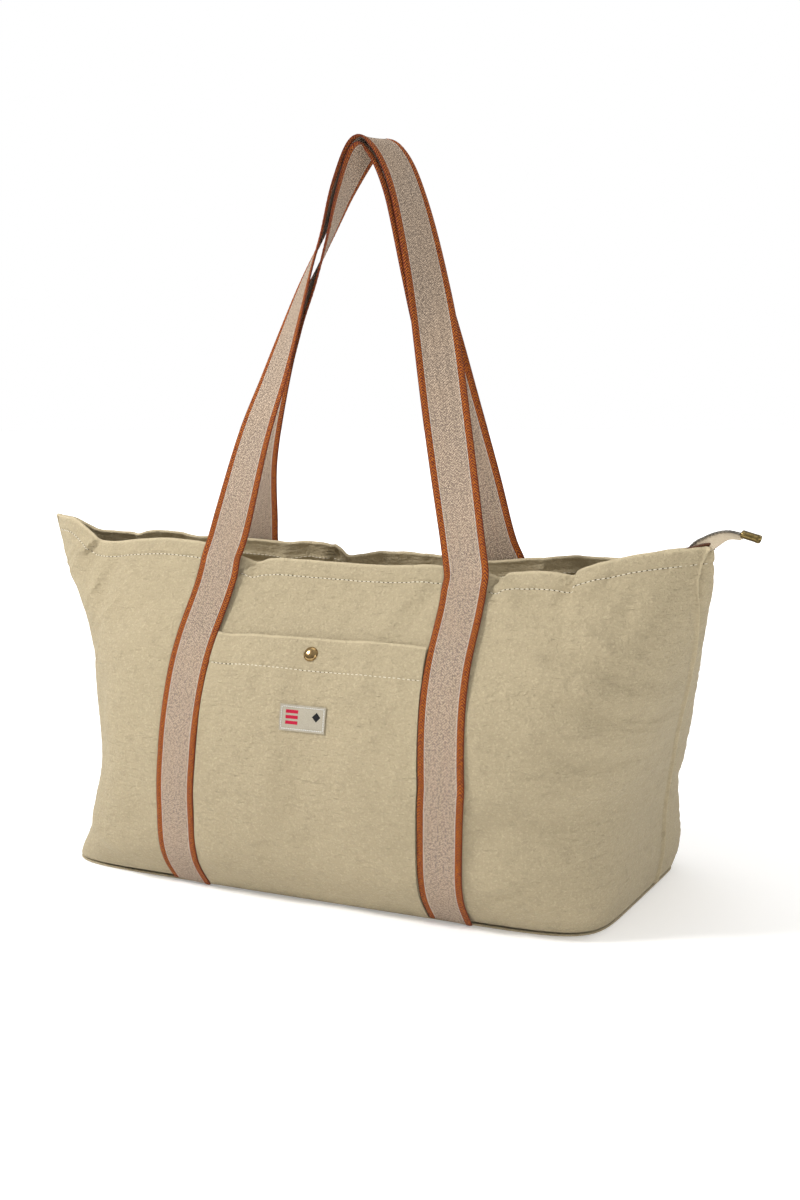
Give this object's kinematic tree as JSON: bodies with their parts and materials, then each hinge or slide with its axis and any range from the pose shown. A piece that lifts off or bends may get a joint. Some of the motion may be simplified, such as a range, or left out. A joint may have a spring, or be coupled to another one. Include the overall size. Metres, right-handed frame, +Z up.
{
  "type": "zip-top tote bag",
  "caption": "Soft fabric tote with boxed base, recessed zip, front snap pocket and two long webbing handles.",
  "frame": {"origin": "middle of the base's underside, where the bag rests", "axes": "+Z up, -Y towards the pocket side, +X towards the corner where the zip's tail comes out"},
  "size_m": [0.6457, 0.3239, 0.6301],
  "materials": {
    "canvas": "washed, matt, lightly creased",
    "webbing": "woven, with rust-coloured edge stripes",
    "zip_tape": "woven tape",
    "zip_metal": "dark antique",
    "brass": "antique",
    "label": "damask woven"
  },
  "bodies": {
    "bag": {"front_panel": "canvas", "rear_panel": "canvas", "base_panel": "canvas", "front_hem_facing": "canvas", "rear_hem_facing": "canvas", "front_strap_left": "webbing", "front_strap_right": "webbing", "rear_strap_left": "webbing", "rear_strap_right": "webbing", "pocket_panel": "canvas", "label_patch": "label", "snap_stud": "brass", "snap_post": "brass", "zip_start_tape_front": "zip_tape", "zip_start_tape_rear": "zip_tape", "zip_start_teeth": "zip_metal", "zip_end_stop": "zip_metal", "zip_exit_tape": "zip_tape", "zip_exit_teeth": "zip_metal"},
    "front_handle": {"front_handle_loop": "webbing"},
    "rear_handle": {"rear_handle_loop": "webbing"},
    "zip_flap_front": {"zip_panel_front": "canvas", "zip_tape_front": "zip_tape", "zip_teeth_front": "zip_metal"},
    "zip_flap_rear": {"zip_panel_rear": "canvas", "zip_tape_rear": "zip_tape", "zip_teeth_rear": "zip_metal"},
    "zip_slider": {"zip_slider_body": "zip_metal"},
    "zip_pull": {"zip_puller": "zip_metal"},
    "pocket_flap": {"pocket_hem": "canvas", "snap_cap": "brass", "snap_socket": "brass"},
    "zip_tail": {"zip_tail_tape": "zip_tape", "zip_tail_teeth": "zip_metal", "zip_end_cap": "brass"}
  },
  "joints": [
    {"name": "front_handle_fold", "type": "hinge", "parent": "bag", "child": "front_handle", "pos_m": [0.015, -0.11613, 0.26989], "axis": [1, 0, 0], "range_deg": [0, 135]},
    {"name": "rear_handle_fold", "type": "hinge", "parent": "bag", "child": "rear_handle", "pos_m": [0.015, -0.01906, 0.26994], "axis": [-1, 0, 0], "range_deg": [0, 112]},
    {"name": "zip_flap_front_lift", "type": "hinge", "parent": "bag", "child": "zip_flap_front", "pos_m": [0, -0.1085, 0.263], "axis": [1, 0, 0], "range_deg": [0, 44]},
    {"name": "zip_flap_rear_lift", "type": "hinge", "parent": "bag", "child": "zip_flap_rear", "pos_m": [0, -0.0255, 0.263], "axis": [-1, 0, 0], "range_deg": [0, 44]},
    {"name": "zip_slider_travel", "type": "slide", "parent": "bag", "child": "zip_slider", "axis": [1, 0, 0], "range_m": [0, 0.489]},
    {"name": "zip_puller_swing", "type": "hinge", "parent": "zip_slider", "child": "zip_pull", "pos_m": [-0.2445, -0.067, 0.2673], "axis": [0, 1, 0], "range_deg": [0, 150]},
    {"name": "pocket_mouth", "type": "hinge", "parent": "bag", "child": "pocket_flap", "pos_m": [0.015, -0.1627, 0.2068], "axis": [1, 0, 0], "range_deg": [0, 25]},
    {"name": "zip_tail_lift", "type": "hinge", "parent": "bag", "child": "zip_tail", "pos_m": [0.2985, -0.067, 0.3112], "axis": [0, -1, 0], "range_deg": [0, 55]}
  ]
}
